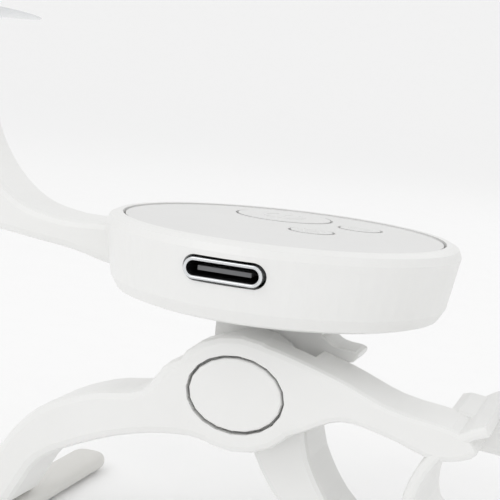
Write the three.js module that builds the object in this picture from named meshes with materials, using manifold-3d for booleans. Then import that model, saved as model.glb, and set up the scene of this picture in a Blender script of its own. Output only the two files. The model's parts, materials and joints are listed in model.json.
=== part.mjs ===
// A palm-sized white drone: a round pod with buttons and a charging port, a folding yoke and leg
// on one pivot under it, and a rotor on each side. Millimetres, +Z up, the front faces -Y.
import * as THREE from "three";
import { mergeVertices } from "three/addons/utils/BufferGeometryUtils.js";
import Module from "manifold-3d";

const wasm = await Module();
wasm.setup();

// Driving dimensions. Heights are measured from the pod's top rim.
const GAP = 0.35;
const POD_R = 22;
const POD_BASE_R = 20.9;
const POD_H = 9.4;
const WALL = 1.5;
const COVER_R = 19.7;
const COVER_T = 1.5;
const BUTTONS = {
  main_button: { x: -3.5, y: 11.2, r: 6.2 },
  light_button: { x: 3.7, y: -0.7, r: 2.6 },
  mode_button: { x: 7.6, y: 8.6, r: 2.6 },
};
const PORT = { z: -3.4, w: 9, h: 2.3, depth: 6, wall: 0.3 };
const BOOM = { front: -4.5, back: 4.5 };
const HUB = { x: 0.3, z: -18.7, rx: 8.2, rz: 6.9 };
const CAP = { rx: 5.7, rz: 4.3, depth: 1.4 };
const YOKE_FRONT = -14;
const YOKE_BACK = -5;
const HUB_BACK = YOKE_FRONT + 4.3;
const LEG_FRONT = HUB_BACK + GAP;
const LEG_DISC_BACK = LEG_FRONT + 4.2;
const LEG_BACK = LEG_FRONT + 9;
const LUG_FRONT = LEG_DISC_BACK + GAP;
const LUG_BACK = LUG_FRONT + 5;
const PIN_R = 1.8;
const GUARD = { x: 33.4, z: -28.6, r: 12.6, t: 1.4, back: 8 };
const FLOOR = GUARD.z - GUARD.r;
const ROTORS = { left: -49, right: 47 };
const ROTOR_Y = 0;
const POST_TOP = 15;
const MOTOR = { r: 4, h: 6.5 };
const PROP = { r: 24, chord: 5, t: 0.9, hub: 2.4 };

const WHITE = { color: 0xf4f4f3, roughness: 0.35, metalness: 0 };
const COVER_WHITE = { color: 0xe9e9e8, roughness: 0.45, metalness: 0 };
const STEEL = { color: 0xc9ccd0, roughness: 0.25, metalness: 1 };
const BLACK = { color: 0x17181a, roughness: 0.5, metalness: 0 };
const GREEN = { color: 0x1f5a3a, roughness: 0.6, metalness: 0 };
const RUBBER = { color: 0xdcdcda, roughness: 0.8, metalness: 0 };
const SMOKE = { color: 0xd8dadc, roughness: 0.3, metalness: 0 };

const drone = new THREE.Group();

// A closed geometry as a solid that can be joined and cut.
function solid(geometry) {
  const bare = geometry.index ? geometry.toNonIndexed() : geometry.clone();
  bare.deleteAttribute("normal");
  bare.deleteAttribute("uv");
  const merged = mergeVertices(bare, 1e-4);
  return new wasm.Manifold(
    new wasm.Mesh({
      numProp: 3,
      vertProperties: new Float32Array(merged.attributes.position.array),
      triVerts: new Uint32Array(merged.index.array),
    }),
  );
}

// Puts a finished solid into the drone as one named mesh.
function part(name, body, look) {
  const made = body.getMesh();
  const geometry = new THREE.BufferGeometry();
  geometry.setAttribute("position", new THREE.BufferAttribute(made.vertProperties, 3));
  geometry.setIndex(new THREE.BufferAttribute(made.triVerts, 1));
  geometry.computeVertexNormals();
  const mesh = new THREE.Mesh(geometry, new THREE.MeshStandardMaterial(look));
  mesh.name = name;
  drone.add(mesh);
}

// An outline in X and Z, given thickness from the front plane back to the back plane.
function slab(shape, front, back, edge = 0) {
  const geometry = new THREE.ExtrudeGeometry(shape, {
    depth: back - front - 2 * edge,
    curveSegments: 10,
    bevelEnabled: edge > 0,
    bevelSize: edge,
    bevelThickness: edge,
    bevelOffset: -edge,
    bevelSegments: 2,
  });
  geometry.rotateX(Math.PI / 2);
  geometry.translate(0, back - edge, 0);
  return solid(geometry);
}

function ellipse(x, z, rx, rz) {
  return new THREE.Shape().absellipse(x, z, rx, rz, 0, 2 * Math.PI);
}

// A smooth closed outline through a few points.
function outline(points) {
  const curve = new THREE.CatmullRomCurve3(
    points.map(([x, z]) => new THREE.Vector3(x, z, 0)), true, "centripetal");
  const steps = points.length * 4;
  return new THREE.Shape(curve.getPoints(steps).slice(0, steps).map((p) => new THREE.Vector2(p.x, p.y)));
}

function disc(x, y, r, low, high, sides = 40, lowR = r) {
  const geometry = new THREE.CylinderGeometry(r, lowR, high - low, sides);
  geometry.rotateX(Math.PI / 2);
  geometry.translate(x, y, (low + high) / 2);
  return solid(geometry);
}

function block(x0, x1, y0, y1, z0, z1) {
  const geometry = new THREE.BoxGeometry(x1 - x0, y1 - y0, z1 - z0);
  geometry.translate((x0 + x1) / 2, (y0 + y1) / 2, (z0 + z1) / 2);
  return solid(geometry);
}

// A slot with round ends, as wide and high as asked.
function portShape(w, h) {
  const r = h / 2;
  const half = w / 2 - r;
  const shape = new THREE.Shape();
  shape.absarc(half, PORT.z, r, -Math.PI / 2, Math.PI / 2);
  shape.absarc(-half, PORT.z, r, Math.PI / 2, 1.5 * Math.PI);
  return shape;
}

// What is cut away so that both rotor posts end in a level seat.
function abovePosts() {
  return block(-70, 70, -20, 20, POST_TOP, POST_TOP + 10);
}

// What is cut away so that both legs end in a level seat for their feet.
function belowLegs() {
  return block(-60, GUARD.x - GUARD.r - 0.5, -20, 20, FLOOR - 5, FLOOR + 2.95);
}

function boom() {
  return outline([
    [-19.5, -2.9], [-28.7, -2.5], [-34.6, -1.2], [-39.5, 2.5], [-43, 8], [-44.6, POST_TOP], [-53.2, POST_TOP],
    [-52.4, 2], [-47.5, -3.6], [-35.6, -5.5], [-27.4, -6.4], [-19.5, -7.4],
  ]);
}

// The round cup with its wall, floor and seat for the cover, and the boom moulded to its left side.
function podShell() {
  const profile = [
    [0, -POD_H], [POD_BASE_R - 2, -POD_H], [POD_BASE_R - 0.8, -POD_H + 0.4], [POD_BASE_R, -POD_H + 1.8],
    [POD_R, -1.3], [POD_R - 0.4, -0.4], [POD_R - 1.2, 0], [COVER_R + GAP, 0],
    [COVER_R + GAP, -COVER_T - GAP], [POD_R - WALL - 1.5, -COVER_T - GAP],
    [POD_BASE_R - WALL - 1.5, -POD_H + WALL], [0, -POD_H + WALL],
  ].map(([r, z]) => new THREE.Vector2(r, z));
  const cup = new THREE.LatheGeometry(profile, 72);
  cup.rotateX(Math.PI / 2);
  const cavity = disc(0, 0, POD_R - WALL - 2.3, -POD_H + WALL, 0.2);
  const arm = slab(boom(), BOOM.front, BOOM.back, 1).subtract(cavity);
  const slot = slab(portShape(PORT.w + 2 * GAP, PORT.h + 2 * GAP), -POD_R - 1, -POD_R + 8);
  return solid(cup).add(arm).subtract(slot).subtract(abovePosts());
}

function topCover() {
  let cover = disc(0, 0, COVER_R, -COVER_T, -0.15, 72);
  for (const b of Object.values(BUTTONS)) {
    cover = cover.subtract(disc(b.x, b.y, b.r + GAP, -COVER_T - 1, 1, 32));
  }
  return cover;
}

// A button cap with a wider skirt under the cover that stops it falling out.
function button(b) {
  const cap = disc(b.x, b.y, b.r, -COVER_T - GAP, -0.1, 32);
  return cap.add(disc(b.x, b.y, b.r + 0.8, -COVER_T - 1.3, -COVER_T - GAP, 32));
}

function usbShell() {
  const back = -POD_R + PORT.depth;
  const tube = slab(portShape(PORT.w, PORT.h), -POD_R + 0.25, back);
  const inside = portShape(PORT.w - 2 * PORT.wall, PORT.h - 2 * PORT.wall);
  return tube.subtract(slab(inside, -POD_R - 1, back - 0.6));
}

// The neck's lug goes down behind the leg to the pivot, and its tongue limits the right arm.
function neckBracket() {
  const base = -POD_H - GAP;
  const stem = new THREE.Shape([
    new THREE.Vector2(-6, HUB.z), new THREE.Vector2(HUB.x + 6.3, HUB.z), new THREE.Vector2(7.8, base),
    new THREE.Vector2(-6, base),
  ]);
  const tongue = outline([[3, -17], [3, -12], [7.6, -12], [9.4, -12.9], [12.2, -13.4], [11.6, -14.6], [8, -14.9]]);
  return slab(stem, LUG_FRONT, LUG_BACK)
    .add(slab(ellipse(HUB.x, HUB.z, 6.3, 6.3), LUG_FRONT, LUG_BACK, 0.5))
    .add(slab(tongue, LUG_FRONT, LUG_BACK, 0.3))
    .subtract(bore(PIN_R + GAP));
}

function bore(r) {
  return slab(ellipse(HUB.x, HUB.z, r, r), YOKE_FRONT - 5, LUG_BACK + 9);
}

function leftLeg() {
  return outline([
    [0, -13.6], [-8.2, -16.2], [-11.4, -20], [-18, -21.6], [-25, -25], [-30, -31], [-32, FLOOR + 3],
    [-28.5, FLOOR + 3], [-27, -36], [-24.3, -31.6], [-18.8, -28.4], [-11.7, -25.8], [-5.3, -24.8], [0, -25],
  ]);
}

function rightArm() {
  return outline([
    [0, -12.2], [3, -12.3], [12, -14.6], [18.5, -16.9], [27, -18.4], [28.4, -20.4], [24.4, -21.9],
    [18.5, -20.4], [13, -19.6], [8, -22], [0, -24.8],
  ]);
}

// Behind the arm, a boom carries on through the guard and turns up to the right rotor.
function rightBoom() {
  return outline([
    [24, -17.9], [30, -18.2], [38, -17.6], [42.6, -9], [43.2, POST_TOP], [51, POST_TOP], [50.2, -10],
    [46, -19.5], [38, -22.5], [30, -22], [24, -21],
  ]);
}

// A curved guard that wraps the right foot, with a scalloped back edge.
function guard() {
  const shape = new THREE.Shape();
  shape.absarc(GUARD.x, GUARD.z, GUARD.r, 1.92, 4.9, false);
  shape.absarc(GUARD.x, GUARD.z, GUARD.r - GUARD.t, 4.9, 1.92, true);
  let body = slab(shape, YOKE_FRONT, GUARD.back, 0.5);
  for (let angle = 2.15; angle < 4.6; angle += 0.55) {
    const cut = new THREE.CylinderGeometry(3.2, 3.2, 8, 20);
    cut.rotateZ(-Math.PI / 2);
    cut.rotateY(-angle);
    cut.translate(GUARD.x + GUARD.r * Math.cos(angle), GUARD.back, GUARD.z + GUARD.r * Math.sin(angle));
    body = body.subtract(solid(cut));
  }
  return body;
}

// The front plate: the hub round the pivot, the left leg, and the right arm up to its rotor post.
function frontYoke() {
  const legDisc = slab(ellipse(HUB.x, HUB.z, 9.6, 9.6), HUB_BACK, YOKE_BACK + 1);
  const limbs = slab(leftLeg(), YOKE_FRONT, YOKE_BACK, 1).add(slab(rightArm(), YOKE_FRONT, YOKE_BACK, 0.7));
  return limbs
    .add(slab(ellipse(HUB.x, HUB.z, HUB.rx, HUB.rz), YOKE_FRONT, HUB_BACK, 0.8))
    .subtract(legDisc)
    .add(guard())
    .add(slab(rightBoom(), YOKE_BACK - 2, BOOM.back, 0.8))
    .subtract(slab(ellipse(HUB.x, HUB.z, CAP.rx + GAP, CAP.rz + GAP), YOKE_FRONT - 1, YOKE_FRONT + CAP.depth + GAP))
    .subtract(bore(PIN_R + GAP))
    .subtract(abovePosts())
    .subtract(belowLegs());
}

function lowerLeg() {
  const root = ellipse(HUB.x, HUB.z, 6.6, 6.6);
  const arm = outline([
    [0, -21], [6.5, -19], [8.8, -26], [12, -31.1], [19.5, FLOOR + 3], [13, FLOOR + 3], [5.6, -32], [2, -27],
  ]);
  const clear = slab(ellipse(HUB.x, HUB.z, 9, 9), LEG_DISC_BACK, LEG_BACK + 1);
  return slab(root, LEG_FRONT, LEG_DISC_BACK, 0.4)
    .add(slab(arm, LEG_FRONT, LEG_BACK, 0.7).subtract(clear))
    .subtract(belowLegs())
    .subtract(bore(PIN_R + GAP));
}

// A rubber bar under a leg, long enough from front to back to stand on.
function foot(x, front, back) {
  const shape = new THREE.Shape();
  shape.absarc(x, FLOOR + 1.35, 1.35, Math.PI, 2 * Math.PI);
  shape.lineTo(x + 2.6, FLOOR + 2.6);
  shape.lineTo(x - 2.6, FLOOR + 2.6);
  return slab(shape, front, back);
}

// A two-bladed propeller, its blades lying front to back, pitched in opposite ways.
function propeller(x) {
  const low = POST_TOP + 0.3 + MOTOR.h + GAP;
  let body = disc(x, ROTOR_Y, PROP.hub, low, low + 2.2, 24).subtract(disc(x, ROTOR_Y, 0.8 + GAP, low - 1, low + 1.6, 12));
  for (const side of [-1, 1]) {
    const blade = new THREE.Shape();
    blade.moveTo(-1, 1.6);
    blade.quadraticCurveTo(-PROP.chord / 2 - 0.6, PROP.r * 0.3, -PROP.chord / 2 + 0.8, PROP.r - 2);
    blade.quadraticCurveTo(0, PROP.r + 1, PROP.chord / 2 - 1, PROP.r - 2);
    blade.quadraticCurveTo(PROP.chord / 2 + 1, PROP.r * 0.3, 1, 1.6);
    const g = new THREE.ExtrudeGeometry(blade, { depth: PROP.t, bevelEnabled: false, curveSegments: 10 });
    g.translate(0, 0, -PROP.t / 2);
    g.rotateY(0.22);
    g.rotateZ(side > 0 ? 0 : Math.PI);
    g.translate(x, ROTOR_Y, low + 1.2);
    body = body.add(solid(g));
  }
  return body.subtract(disc(x, ROTOR_Y, 0.8 + GAP, low - 1, low + 1.6, 12));
}

function rotorUnit(side) {
  const x = ROTORS[side];
  const base = POST_TOP + 0.3;
  const can = disc(x, ROTOR_Y, MOTOR.r, base, base + MOTOR.h, 36);
  part(side + "_motor", can.subtract(disc(x, ROTOR_Y, 0.8 + GAP, base + 1, base + MOTOR.h + 1, 12)), STEEL);
  part(side + "_motor_shaft", disc(x, ROTOR_Y, 0.8, base + 1 + GAP, base + MOTOR.h + 1.6, 12), STEEL);
  part(side + "_propeller", propeller(x), SMOKE);
}

part("pod_shell", podShell(), WHITE);
part("top_cover", topCover(), COVER_WHITE);
for (const [name, b] of Object.entries(BUTTONS)) {
  part(name, button(b), COVER_WHITE);
}
part("usb_c_shell", usbShell(), STEEL);
part("usb_c_tongue", block(-3.1, 3.1, -POD_R + 1, -POD_R + 5.1, PORT.z - 0.25, PORT.z + 0.25), BLACK);
part("circuit_board", disc(0, 0, 16, -5.9, -5, 40), GREEN);
part("battery_cell", disc(0, 0, 12, -POD_H + WALL + GAP, -6.2, 40), STEEL);
part("neck_bracket", neckBracket(), WHITE);
part("front_yoke", frontYoke(), WHITE);
part("hub_cap", slab(ellipse(HUB.x, HUB.z, CAP.rx, CAP.rz), YOKE_FRONT + 0.05, YOKE_FRONT + CAP.depth, 0.25), WHITE);
part("pivot_pin", slab(ellipse(HUB.x, HUB.z, PIN_R, PIN_R), YOKE_FRONT + CAP.depth + GAP, LUG_BACK + 1.5), STEEL);
part("pin_retainer", slab(ellipse(HUB.x, HUB.z, 4, 4), LUG_BACK + GAP, LUG_BACK + 2.6, 0.3)
  .subtract(slab(ellipse(HUB.x, HUB.z, PIN_R + GAP, PIN_R + GAP), LUG_BACK, LUG_BACK + 1.5 + GAP)), WHITE);
part("lower_leg", lowerLeg(), WHITE);
part("left_foot", foot(-30.2, -16, 16), RUBBER);
part("lower_foot", foot(16.2, LEG_FRONT - 2, LEG_BACK + 8), RUBBER);
rotorUnit("left");
rotorUnit("right");

// The origin is on the floor, under the middle of the whole drone.
const box = new THREE.Box3().setFromObject(drone);
const centre = box.getCenter(new THREE.Vector3());
drone.position.set(-centre.x, -centre.y, -box.min.z);

export default drone;
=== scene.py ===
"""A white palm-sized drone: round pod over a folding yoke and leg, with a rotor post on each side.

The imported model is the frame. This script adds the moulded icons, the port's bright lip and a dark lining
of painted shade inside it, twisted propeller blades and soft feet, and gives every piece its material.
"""
import json
import math

import bmesh
import bpy
import numpy as np
from mathutils import Matrix, Vector


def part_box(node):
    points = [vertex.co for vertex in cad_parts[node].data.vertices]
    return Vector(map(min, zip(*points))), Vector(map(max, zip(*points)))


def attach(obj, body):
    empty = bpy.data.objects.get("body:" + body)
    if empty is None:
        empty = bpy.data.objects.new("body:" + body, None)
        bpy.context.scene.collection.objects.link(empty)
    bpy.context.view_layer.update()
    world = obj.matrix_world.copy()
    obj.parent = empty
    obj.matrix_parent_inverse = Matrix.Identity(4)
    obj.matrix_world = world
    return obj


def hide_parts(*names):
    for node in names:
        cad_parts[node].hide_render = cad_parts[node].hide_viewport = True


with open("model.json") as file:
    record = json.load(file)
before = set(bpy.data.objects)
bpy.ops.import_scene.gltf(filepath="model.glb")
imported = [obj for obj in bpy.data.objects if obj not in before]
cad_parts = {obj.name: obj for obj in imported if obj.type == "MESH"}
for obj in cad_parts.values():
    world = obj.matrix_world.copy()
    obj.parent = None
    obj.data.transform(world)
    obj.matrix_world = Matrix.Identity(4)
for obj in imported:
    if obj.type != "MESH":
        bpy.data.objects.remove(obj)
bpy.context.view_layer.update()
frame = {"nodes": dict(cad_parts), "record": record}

MM = 0.001
COVER_LOW, COVER_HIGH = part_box("top_cover")
POD_AXIS = (COVER_LOW + COVER_HIGH) / 2
PORT_LOW, PORT_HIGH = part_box("usb_c_shell")
NODES = frame["nodes"]

# The camera: distance, place round the object, and tilt about its own line of sight.
CAMERA_DISTANCE = 0.150
CAMERA_LENS = 87.0
CAMERA_SIDE = math.radians(18)
CAMERA_RISE = math.radians(7.8)
CAMERA_TILT = math.radians(6)
AIM_RIGHT = 4.3 * MM
AIM_DOWN = 2.9 * MM

# The floor: half its width, how far its far edge rises, and where across it the rise begins.
FLOOR_HALF = 3.0
FLOOR_RISE = 1.2
FLOOR_BEND = 0.45
FLOOR_DROP = 0.2 * MM
SURROUND = 0.9

# The area lights: name, place, size and power.
LIGHTS = (
    ("key", (-0.25, -0.45, 0.5), 0.35, 0.5),
    ("fill", (0.5, -0.3, 0.25), 0.4, 0.05),
    ("back", (0.1, 0.5, 0.45), 0.4, 0.15),
)

# The icons stand this far into their buttons, with sections flattened to this share of their width.
ICON_SINK = 0.02 * MM
ICON_RISE = 0.6
THIN_STROKE = 0.16 * MM
BOLD_STROKE = 0.24 * MM

# The patchiness of every moulded surface, much wider than its grain.
CLOUD = 9 * MM

# The port's lip, and the dark lining inside it, which is painted shade.
LIP_RADIUS = 0.17 * MM
LIP_SINK = 0.1 * MM
SHADE_LINING_GAP = 0.33 * MM
SHADE_LINING_DEPTHS = (0.35 * MM, 4.6 * MM, 4.6 * MM)


# --- Camera, floor and light ---------------------------------------------------------------------

def camera():
    """The camera looks at a point a little left of and below the middle of the cover, and is tilted."""
    ahead = Vector((
        -math.sin(CAMERA_SIDE) * math.cos(CAMERA_RISE),
        math.cos(CAMERA_SIDE) * math.cos(CAMERA_RISE),
        -math.sin(CAMERA_RISE),
    ))
    level = Vector((math.cos(CAMERA_SIDE), math.sin(CAMERA_SIDE), 0))
    upright = level.cross(ahead)
    right = level * math.cos(CAMERA_TILT) + upright * math.sin(CAMERA_TILT)
    up = upright * math.cos(CAMERA_TILT) - level * math.sin(CAMERA_TILT)
    centre = Vector((POD_AXIS.x, POD_AXIS.y, COVER_HIGH.z))
    target = centre - right * AIM_RIGHT - up * AIM_DOWN
    data = bpy.data.cameras.new("camera")
    data.lens = CAMERA_LENS
    data.clip_start = 0.01
    cam = bpy.data.objects.new("camera", data)
    bpy.context.scene.collection.objects.link(cam)
    turn = Matrix((right, up, -ahead)).transposed().to_4x4()
    cam.matrix_world = Matrix.Translation(target - ahead * CAMERA_DISTANCE) @ turn
    bpy.context.scene.camera = cam


def area_light(name, place, size, power):
    """A soft square panel that faces the pod."""
    data = bpy.data.lights.new(name, "AREA")
    data.shape = "SQUARE"
    data.size = size
    data.energy = power
    lamp = bpy.data.objects.new(name, data)
    bpy.context.scene.collection.objects.link(lamp)
    lamp.location = place
    lamp.rotation_euler = (Vector(place) - POD_AXIS).to_track_quat("Z", "Y").to_euler()


def studio():
    """A pale floor that curves up far behind, an even white surround and three soft panels."""
    across = np.linspace(-FLOOR_HALF, FLOOR_HALF, 13)
    along = np.linspace(-FLOOR_HALF, FLOOR_HALF, 41)
    u, v = np.meshgrid(across, along, indexing="ij")
    bend = np.clip((v - FLOOR_HALF * FLOOR_BEND) / (FLOOR_HALF * (1 - FLOOR_BEND)), 0, 1)
    floor = surface("studio_floor", np.stack([u, v, FLOOR_RISE * bend ** 2 - FLOOR_DROP], axis=-1))
    floor.data.materials.append(floor_paint())
    world = bpy.data.worlds.new("studio")
    world.use_nodes = True
    background = world.node_tree.nodes["Background"]
    background.inputs["Color"].default_value = (1, 1, 1, 1)
    background.inputs["Strength"].default_value = SURROUND
    bpy.context.scene.world = world
    for name, place, size, power in LIGHTS:
        area_light(name, place, size, power)
    bpy.context.scene.view_settings.view_transform = "Standard"


# --- Surfaces ------------------------------------------------------------------------------------

def surface(name, points, close_u=False, close_v=False):
    """A mesh from a grid of points; either direction of the grid may close on itself."""
    nu, nv = points.shape[:2]
    index = np.arange(nu * nv).reshape(nu, nv)
    rows = np.arange(nu if close_u else nu - 1)
    columns = np.arange(nv if close_v else nv - 1)
    a, b = np.meshgrid(rows, columns, indexing="ij")
    a2, b2 = (a + 1) % nu, (b + 1) % nv
    faces = np.stack([index[a, b], index[a2, b], index[a2, b2], index[a, b2]], axis=-1).reshape(-1, 4)
    mesh = bpy.data.meshes.new(name)
    mesh.from_pydata(points.reshape(-1, 3), [], faces)
    mesh.polygons.foreach_set("use_smooth", np.ones(len(faces), dtype=bool))
    piece = bpy.data.objects.new(name, mesh)
    bpy.context.scene.collection.objects.link(piece)
    return piece


def face_outward(piece):
    """Joins doubled points at poles and ends and turns every face outward."""
    work = bmesh.new()
    work.from_mesh(piece.data)
    bmesh.ops.remove_doubles(work, verts=work.verts, dist=1e-7)
    bmesh.ops.recalc_face_normals(work, faces=work.faces)
    work.to_mesh(piece.data)
    work.free()
    return piece


def tube(name, path, radius, closed=False, rise=1.0):
    """A round section carried along a level path: side = radius cos t across it, height = rise radius sin t.

    An open tube narrows to a point at both ends through half a circle, so it ends round.
    """
    path = np.asarray(path, dtype=float)
    if closed:
        ahead = np.roll(path, -1, 0) - np.roll(path, 1, 0)
        width = np.ones(len(path))
    else:
        ahead = np.gradient(path, axis=0)
        travelled = np.r_[0, np.cumsum(np.linalg.norm(np.diff(path, axis=0), axis=1))]
        from_end = np.minimum(travelled, travelled[-1] - travelled) / radius
        width = np.sqrt(np.clip(1 - np.clip(1 - from_end, 0, 1) ** 2, 0, 1))
    ahead /= np.linalg.norm(ahead, axis=1)[:, None]
    side = np.stack([-ahead[:, 1], ahead[:, 0], np.zeros(len(path))], axis=1)
    t = np.linspace(0, 2 * np.pi, 12, endpoint=False)
    across = side[:, None] * (np.cos(t)[None, :, None] * width[:, None, None] * radius)
    over = np.array([0, 0, 1.0]) * (np.sin(t)[None, :, None] * width[:, None, None] * radius * rise)
    return face_outward(surface(name, path[:, None] + across + over, close_u=closed, close_v=True))


def arc(x, y, z, radius, start, end, count=48):
    """Points round a level arc between two angles in degrees."""
    t = np.radians(np.linspace(start, end, count))
    return np.stack([x + radius * np.cos(t), y + radius * np.sin(t), np.full(count, z)], axis=1)


def line(x0, y0, x1, y1, z, count=16):
    """Points along a level straight stroke."""
    t = np.linspace(0, 1, count)
    return np.stack([x0 + (x1 - x0) * t, y0 + (y1 - y0) * t, np.full(count, z)], axis=1)


def join(name, pieces):
    """Joins several finished meshes into one piece."""
    work = bmesh.new()
    for piece in pieces:
        work.from_mesh(piece.data)
        bpy.data.objects.remove(piece)
    mesh = bpy.data.meshes.new(name)
    work.to_mesh(mesh)
    work.free()
    joined = bpy.data.objects.new(name, mesh)
    bpy.context.scene.collection.objects.link(joined)
    return joined


# --- Materials -----------------------------------------------------------------------------------

def linear(code):
    """An sRGB hex value as linear red, green, blue and alpha."""
    parts = [int(code[i:i + 2], 16) / 255 for i in (0, 2, 4)]
    return (*[c / 12.92 if c <= 0.04045 else ((c + 0.055) / 1.055) ** 2.4 for c in parts], 1.0)


def add(tree, kind, settings=None, **links):
    """Adds a node, sets its sockets or properties, and links its inputs."""
    node = tree.nodes.new(kind)
    for key, value in (settings or {}).items():
        if key in node.inputs:
            node.inputs[key].default_value = value
        else:
            setattr(node, key, value)
    for key, source in links.items():
        tree.links.new(source, node.inputs[key])
    return node


def moulded(name, low, high, rough, grain_mm, bump_mm, metallic=0.0, ior=1.53):
    """A fine random grain stands up a little and varies the roughness; wider clouds vary the colour."""
    material = bpy.data.materials.new(name)
    material.use_nodes = True
    tree = material.node_tree
    shader = tree.nodes["Principled BSDF"]
    shader.inputs["Metallic"].default_value = metallic
    shader.inputs["IOR"].default_value = ior
    place = add(tree, "ShaderNodeTexCoord").outputs["Object"]
    cloud = add(tree, "ShaderNodeTexNoise", {"Scale": 1 / CLOUD, "Detail": 3.0}, Vector=place)
    grain = add(tree, "ShaderNodeTexNoise", {"Scale": 1 / (grain_mm * MM), "Detail": 2.0}, Vector=place)
    tint = add(tree, "ShaderNodeMix", {"data_type": "RGBA"})
    tree.links.new(cloud.outputs["Fac"], tint.inputs["Factor"])
    # A colour Mix keeps its two colours and its result behind sockets 6, 7 and 2.
    tint.inputs[6].default_value = linear(low)
    tint.inputs[7].default_value = linear(high)
    tree.links.new(tint.outputs[2], shader.inputs["Base Color"])
    limits = {"To Min": rough - 0.04, "To Max": rough + 0.06}
    spread = add(tree, "ShaderNodeMapRange", limits, Value=grain.outputs["Fac"])
    tree.links.new(spread.outputs["Result"], shader.inputs["Roughness"])
    relief = {"Strength": 0.25, "Distance": bump_mm * MM}
    bump = add(tree, "ShaderNodeBump", relief, Height=grain.outputs["Fac"])
    tree.links.new(bump.outputs["Normal"], shader.inputs["Normal"])
    return material


def satin_abs():
    """Injection-moulded white ABS from a fine-sparked tool: a soft even sheen with a very slight grain."""
    return moulded("satin_white_abs", "EBEBE9", "F0F0EF", 0.34, 0.35, 0.004)


def matt_abs():
    """White ABS with a finer matt texture for fingers: slightly greyer and less shiny than the shell."""
    return moulded("matt_white_abs", "E1E1E0", "E6E6E5", 0.46, 0.25, 0.006)


def stamped_steel():
    """Bright nickel-plated steel, drawn thin and folded: mirror-like with faint drawing haze."""
    return moulded("plated_steel", "D6D8DA", "E4E6E8", 0.16, 0.5, 0.001, metallic=1.0, ior=1.5)


def port_shade_black():
    """Dull near-black plastic used as painted shade inside the port, so the mouth reads as a hole."""
    return moulded("painted_port_shade", "0B0B0C", "161618", 0.5, 0.3, 0.004)


def tongue_polymer():
    """The contact tongue's grey-black plastic, worn a little lighter by the plug."""
    return moulded("grey_lcp", "5B5C5E", "77787A", 0.4, 0.3, 0.004)


def solder_mask():
    """Green epoxy solder mask over copper: glossy, slightly mottled."""
    return moulded("solder_mask", "123F28", "1C5A39", 0.3, 0.6, 0.004)


def foil_pouch():
    """Aluminium-laminate foil round a pouch cell: soft metal sheen with small creases."""
    return moulded("foil_pouch", "B6B9BC", "C9CCCF", 0.35, 1.2, 0.02, metallic=0.9, ior=1.5)


def turned_aluminium():
    """Turned and clear-anodised aluminium: pale grey metal with a satin cut."""
    return moulded("anodised_aluminium", "BFC2C5", "D0D3D6", 0.28, 0.3, 0.003, metallic=1.0, ior=1.5)


def silicone():
    """Moulded off-white silicone rubber: matt and a little warm."""
    return moulded("silicone_rubber", "D9D8D4", "E2E1DE", 0.62, 0.4, 0.01, ior=1.41)


def blade_plastic():
    """White polycarbonate blades from a polished tool: smooth and glossy."""
    return moulded("white_polycarbonate", "DDDFE1", "E8EAEB", 0.22, 0.6, 0.002, ior=1.58)


def floor_paint():
    """Matt white painted board, seamless."""
    return moulded("floor_paint", "FCFCFC", "FEFEFE", 0.8, 2.0, 0.01)


def finish(piece, material, body, slot, *nodes):
    """Gives a new piece its material and body, and names the nodes that it stands for; the slot is not used.
    """
    piece.data.materials.clear()
    piece.data.materials.append(material)
    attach(piece, body)
    if nodes:
        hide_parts(*nodes)
    return piece


# --- Pieces --------------------------------------------------------------------------------------

def centre_of(node):
    """The middle, lowest and highest corner of a node's box."""
    low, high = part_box(node)
    return (low + high) / 2, low, high


def sun_icon(material):
    """A small ring with eight short rays on the light button."""
    middle, _, high = centre_of("light_button")
    z = high.z - ICON_SINK
    circle = arc(middle.x, middle.y, z, 0.75 * MM, 0, 360, 33)[:-1]
    ring = tube("sun_ring", circle, THIN_STROKE, closed=True, rise=ICON_RISE)
    rays = []
    for i in range(8):
        angle = math.radians(45 * i)
        c, s = math.cos(angle), math.sin(angle)
        inner, outer = 1.2 * MM, 1.9 * MM
        rays.append(tube("ray", line(middle.x + inner * c, middle.y + inner * s, middle.x + outer * c,
                                     middle.y + outer * s, z), THIN_STROKE, rise=ICON_RISE))
    finish(join("light_icon", [ring] + rays), material, "light_button", "cover_white")


def power_icon(material):
    """An open arc with a short upright stroke on the main button."""
    middle, _, high = centre_of("main_button")
    z = high.z - ICON_SINK
    bow = tube("bow", arc(middle.x, middle.y, z, 2.6 * MM, -240, 60, 64), BOLD_STROKE, rise=ICON_RISE)
    stroke = line(middle.x, middle.y + 0.6 * MM, middle.x, middle.y + 3.2 * MM, z)
    bar = tube("bar", stroke, BOLD_STROKE, rise=ICON_RISE)
    finish(join("power_icon", [bow, bar]), material, "main_button", "cover_white")


def mode_icon(material):
    """Two short curved strokes like moving air on the mode button."""
    middle, _, high = centre_of("mode_button")
    z = high.z - ICON_SINK
    strokes = []
    for step in (-0.6, 0.6):
        t = np.linspace(0, 1, 32)
        x = middle.x + (t - 0.5) * 3.2 * MM
        y = middle.y + step * MM + 0.3 * MM * np.sin(2 * np.pi * t)
        strokes.append(tube("stroke", np.stack([x, y, np.full(32, z)], axis=1), THIN_STROKE, rise=ICON_RISE))
    finish(join("mode_icon", strokes), material, "mode_button", "cover_white")


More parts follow.
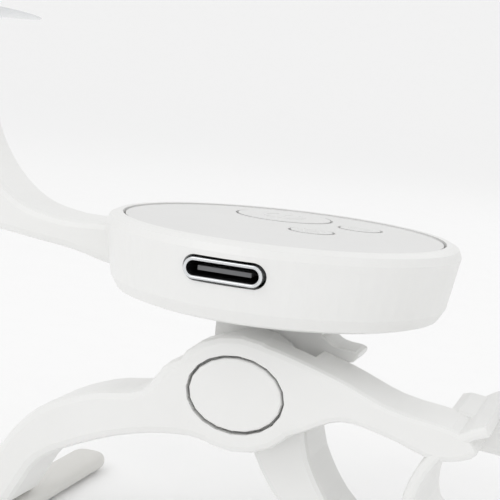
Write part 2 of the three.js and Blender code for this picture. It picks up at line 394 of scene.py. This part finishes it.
def port_lip(material):
    """The rolled bright lip round the port's mouth: a round section carried along the slot outline."""
    middle = (PORT_LOW + PORT_HIGH) / 2
    r = (PORT_HIGH.z - PORT_LOW.z) / 2
    half = (PORT_HIGH.x - PORT_LOW.x) / 2 - r
    t = np.radians(np.linspace(-90, 90, 20))
    right = np.stack([half + r * np.cos(t), r * np.sin(t)], axis=1)
    outline = np.concatenate([right, -right])
    normal = np.concatenate([np.stack([np.cos(t), np.sin(t)], axis=1)] * 2)
    normal[20:] *= -1
    section = np.linspace(0, 2 * np.pi, 12, endpoint=False)
    ring = outline[:, None] + normal[:, None] * (
        LIP_RADIUS * np.cos(section)[None, :, None] - LIP_SINK)
    depth = np.broadcast_to(PORT_LOW.y + LIP_SINK - LIP_RADIUS * np.sin(section), ring.shape[:2])
    points = np.stack([middle.x + ring[..., 0], depth, middle.z + ring[..., 1]], axis=-1)
    piece = face_outward(surface("port_lip", points, close_u=True, close_v=True))
    finish(piece, material, "pod", "port_steel")


def port_shade_lining(material):
    """Painted shade inside the port: a dark sheet just inside the shell wall, the slot outline drawn back
    from the lip, closed at its end.
    """
    middle = (PORT_LOW + PORT_HIGH) / 2
    r = (PORT_HIGH.z - PORT_LOW.z) / 2 - SHADE_LINING_GAP
    half = (PORT_HIGH.x - PORT_LOW.x) / 2 - SHADE_LINING_GAP - r
    t = np.radians(np.linspace(-90, 90, 20))
    right = np.stack([half + r * np.cos(t), r * np.sin(t)], axis=1)
    outline = np.concatenate([right, -right])
    depths = np.array(SHADE_LINING_DEPTHS)
    sizes = np.array([1.0, 1.0, 0.0])
    rings = outline[None] * sizes[:, None, None]
    y = np.broadcast_to((PORT_LOW.y + depths)[:, None], rings.shape[:2])
    points = np.stack([middle.x + rings[..., 0], y, middle.z + rings[..., 1]], axis=-1)
    piece = surface("port_shade_lining", points, close_v=True)
    finish(piece, material, "pod", "port_black")


def propeller(side, material):
    """Two blades round a domed hub.

    Along each blade the chord swells and narrows with the square root of a sine, the pitch falls from
    root to tip, and the section is a thin ellipse.
    """
    name = side + "_propeller"
    middle, low, high = centre_of(name)
    reach = (high.y - low.y) / 2
    deck = (low.z + high.z) / 2
    s = np.linspace(0, 1, 40)
    t = np.linspace(0, 2 * np.pi, 24, endpoint=False)
    swell = np.sqrt(np.clip(np.sin(np.pi * np.clip(s * 0.93 + 0.06, 0, 1)), 0, 1))
    round_tip = np.sqrt(np.clip(1 - s ** 14, 0, 1))
    chord = (1.0 + 3.9 * swell * (1 - 0.25 * s)) * MM / 2 * round_tip
    thick = 0.38 * MM * (1 - 0.45 * s) * round_tip
    pitch = np.radians(20 - 12 * s)
    across = chord[:, None] * np.cos(t)
    over = thick[:, None] * np.sin(t)
    along = np.broadcast_to((1.2 * MM + (reach - 1.3 * MM) * s)[:, None], across.shape)
    x = across * np.cos(pitch)[:, None] - over * np.sin(pitch)[:, None]
    z = across * np.sin(pitch)[:, None] + over * np.cos(pitch)[:, None]
    blades = []
    for way in (1, -1):
        points = np.stack([middle.x + way * x, middle.y + way * along, deck + z], axis=-1)
        blades.append(face_outward(surface("blade", points, close_v=True)))
    profile = np.array([[0, high.z], [1.2 * MM, high.z], [2.1 * MM, high.z - 0.35 * MM],
                        [2.35 * MM, high.z - 0.9 * MM], [2.35 * MM, low.z], [0, low.z]])
    turn = np.linspace(0, 2 * np.pi, 36, endpoint=False)
    hub = np.stack([
        middle.x + profile[:, :1] * np.cos(turn), middle.y + profile[:, :1] * np.sin(turn),
        np.broadcast_to(profile[:, 1:], (len(profile), len(turn))),
    ], axis=-1)
    blades.append(face_outward(surface("hub", hub, close_v=True)))
    finish(join(side + "_blades", blades), material, name, "blade_plastic", name)


def foot(node, body, material):
    """A soft bar with rounded ends: a flattened round section carried from front to back."""
    middle, low, high = centre_of(node)
    half = (high.x - low.x) / 2 - 0.05 * MM
    tall = (high.z - low.z) / 2
    s = np.linspace(0, 1, 40)
    t = np.linspace(0, 2 * np.pi, 28, endpoint=False)
    from_end = np.minimum(s, 1 - s) * (high.y - low.y) / (2.5 * MM)
    width = np.sqrt(np.clip(1 - np.clip(1 - from_end, 0, 1) ** 2, 0, 1))
    cos, sin = np.cos(t), np.sin(t)
    x = middle.x + width[:, None] * half * np.sign(cos) * np.abs(cos) ** 0.7
    z = middle.z + np.maximum(width, 0.02)[:, None] * tall * np.sign(sin) * np.abs(sin) ** 0.7
    y = np.broadcast_to((low.y + (high.y - low.y) * s)[:, None], x.shape)
    piece = face_outward(surface(node + "_pad", np.stack([x, y, z], axis=-1), close_v=True))
    finish(piece, material, body, "foot_rubber", node)


def dress_cad(materials):
    """Gives every carried-over node the material of its slot."""
    for subpart in frame["record"]["subparts"]:
        node = NODES[subpart["node"]]
        node.data.materials.clear()
        node.data.materials.append(materials[subpart["material_slot"]])


# --- The drone -----------------------------------------------------------------------------------

camera()
studio()
LOOKS = {
    "shell_white": satin_abs(),
    "cover_white": matt_abs(),
    "port_steel": stamped_steel(),
    "port_black": tongue_polymer(),
    "board_green": solder_mask(),
    "cell_silver": foil_pouch(),
    "foot_rubber": silicone(),
    "motor_metal": turned_aluminium(),
    "blade_plastic": blade_plastic(),
}
dress_cad(LOOKS)
sun_icon(LOOKS["cover_white"])
power_icon(LOOKS["cover_white"])
mode_icon(LOOKS["cover_white"])
port_lip(LOOKS["port_steel"])
# The black lining is painted shade inside the port, not a real part.
port_shade_lining(port_shade_black())
for name in ("left", "right"):
    propeller(name, LOOKS["blade_plastic"])
foot("left_foot", "yoke", LOOKS["foot_rubber"])
foot("lower_foot", "leg", LOOKS["foot_rubber"])
